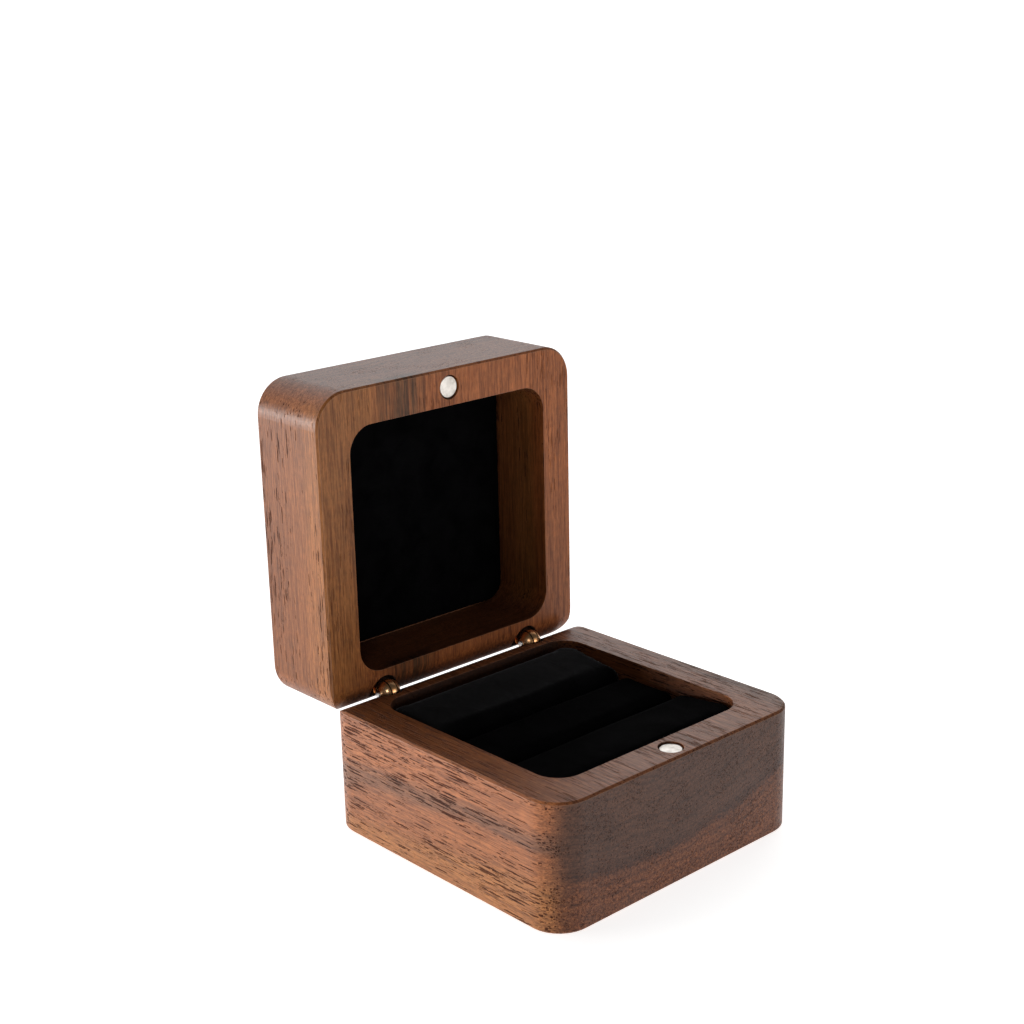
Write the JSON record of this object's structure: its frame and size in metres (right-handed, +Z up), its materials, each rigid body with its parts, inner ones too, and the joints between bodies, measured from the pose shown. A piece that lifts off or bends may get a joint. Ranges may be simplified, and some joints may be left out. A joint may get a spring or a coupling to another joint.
{
  "type": "ring box",
  "caption": "Square walnut ring box with rounded corners, hinged lid, slotted velvet cushion and magnetic catch, standing open.",
  "frame": {"origin": "centre of the base's underside, the face that it stands on", "axes": "+Z up; +X to the right along the hinge axis; the magnet side is the front, towards -Y, and the hinges are at the back, towards +Y"},
  "size_m": [0.06, 0.0757, 0.0803],
  "materials": {
    "walnut": "satin",
    "brass": "polished",
    "pin_steel": "satin",
    "magnet": "satin nickel plate",
    "velvet": "pile",
    "foam": "matte",
    "card": "matte"
  },
  "bodies": {
    "base": {"base_shell": "walnut", "base_magnet": "magnet", "left_base_knuckle": "brass", "right_base_knuckle": "brass", "left_pin": "pin_steel", "right_pin": "pin_steel", "cushion_board": "card", "back_roll_core": "foam", "back_roll_velvet": "velvet", "middle_roll_core": "foam", "middle_roll_velvet": "velvet", "front_roll_core": "foam", "front_roll_velvet": "velvet"},
    "lid": {"lid_shell": "walnut", "lid_magnet": "magnet", "left_lid_knuckle": "brass", "right_lid_knuckle": "brass", "lid_board": "card", "lid_velvet": "velvet"}
  },
  "joints": [
    {"name": "lid_hinge", "type": "hinge", "parent": "base", "child": "lid", "pos_m": [0, 0.02735, 0.023], "axis": [1, 0, 0], "range_deg": [0, 90]}
  ]
}
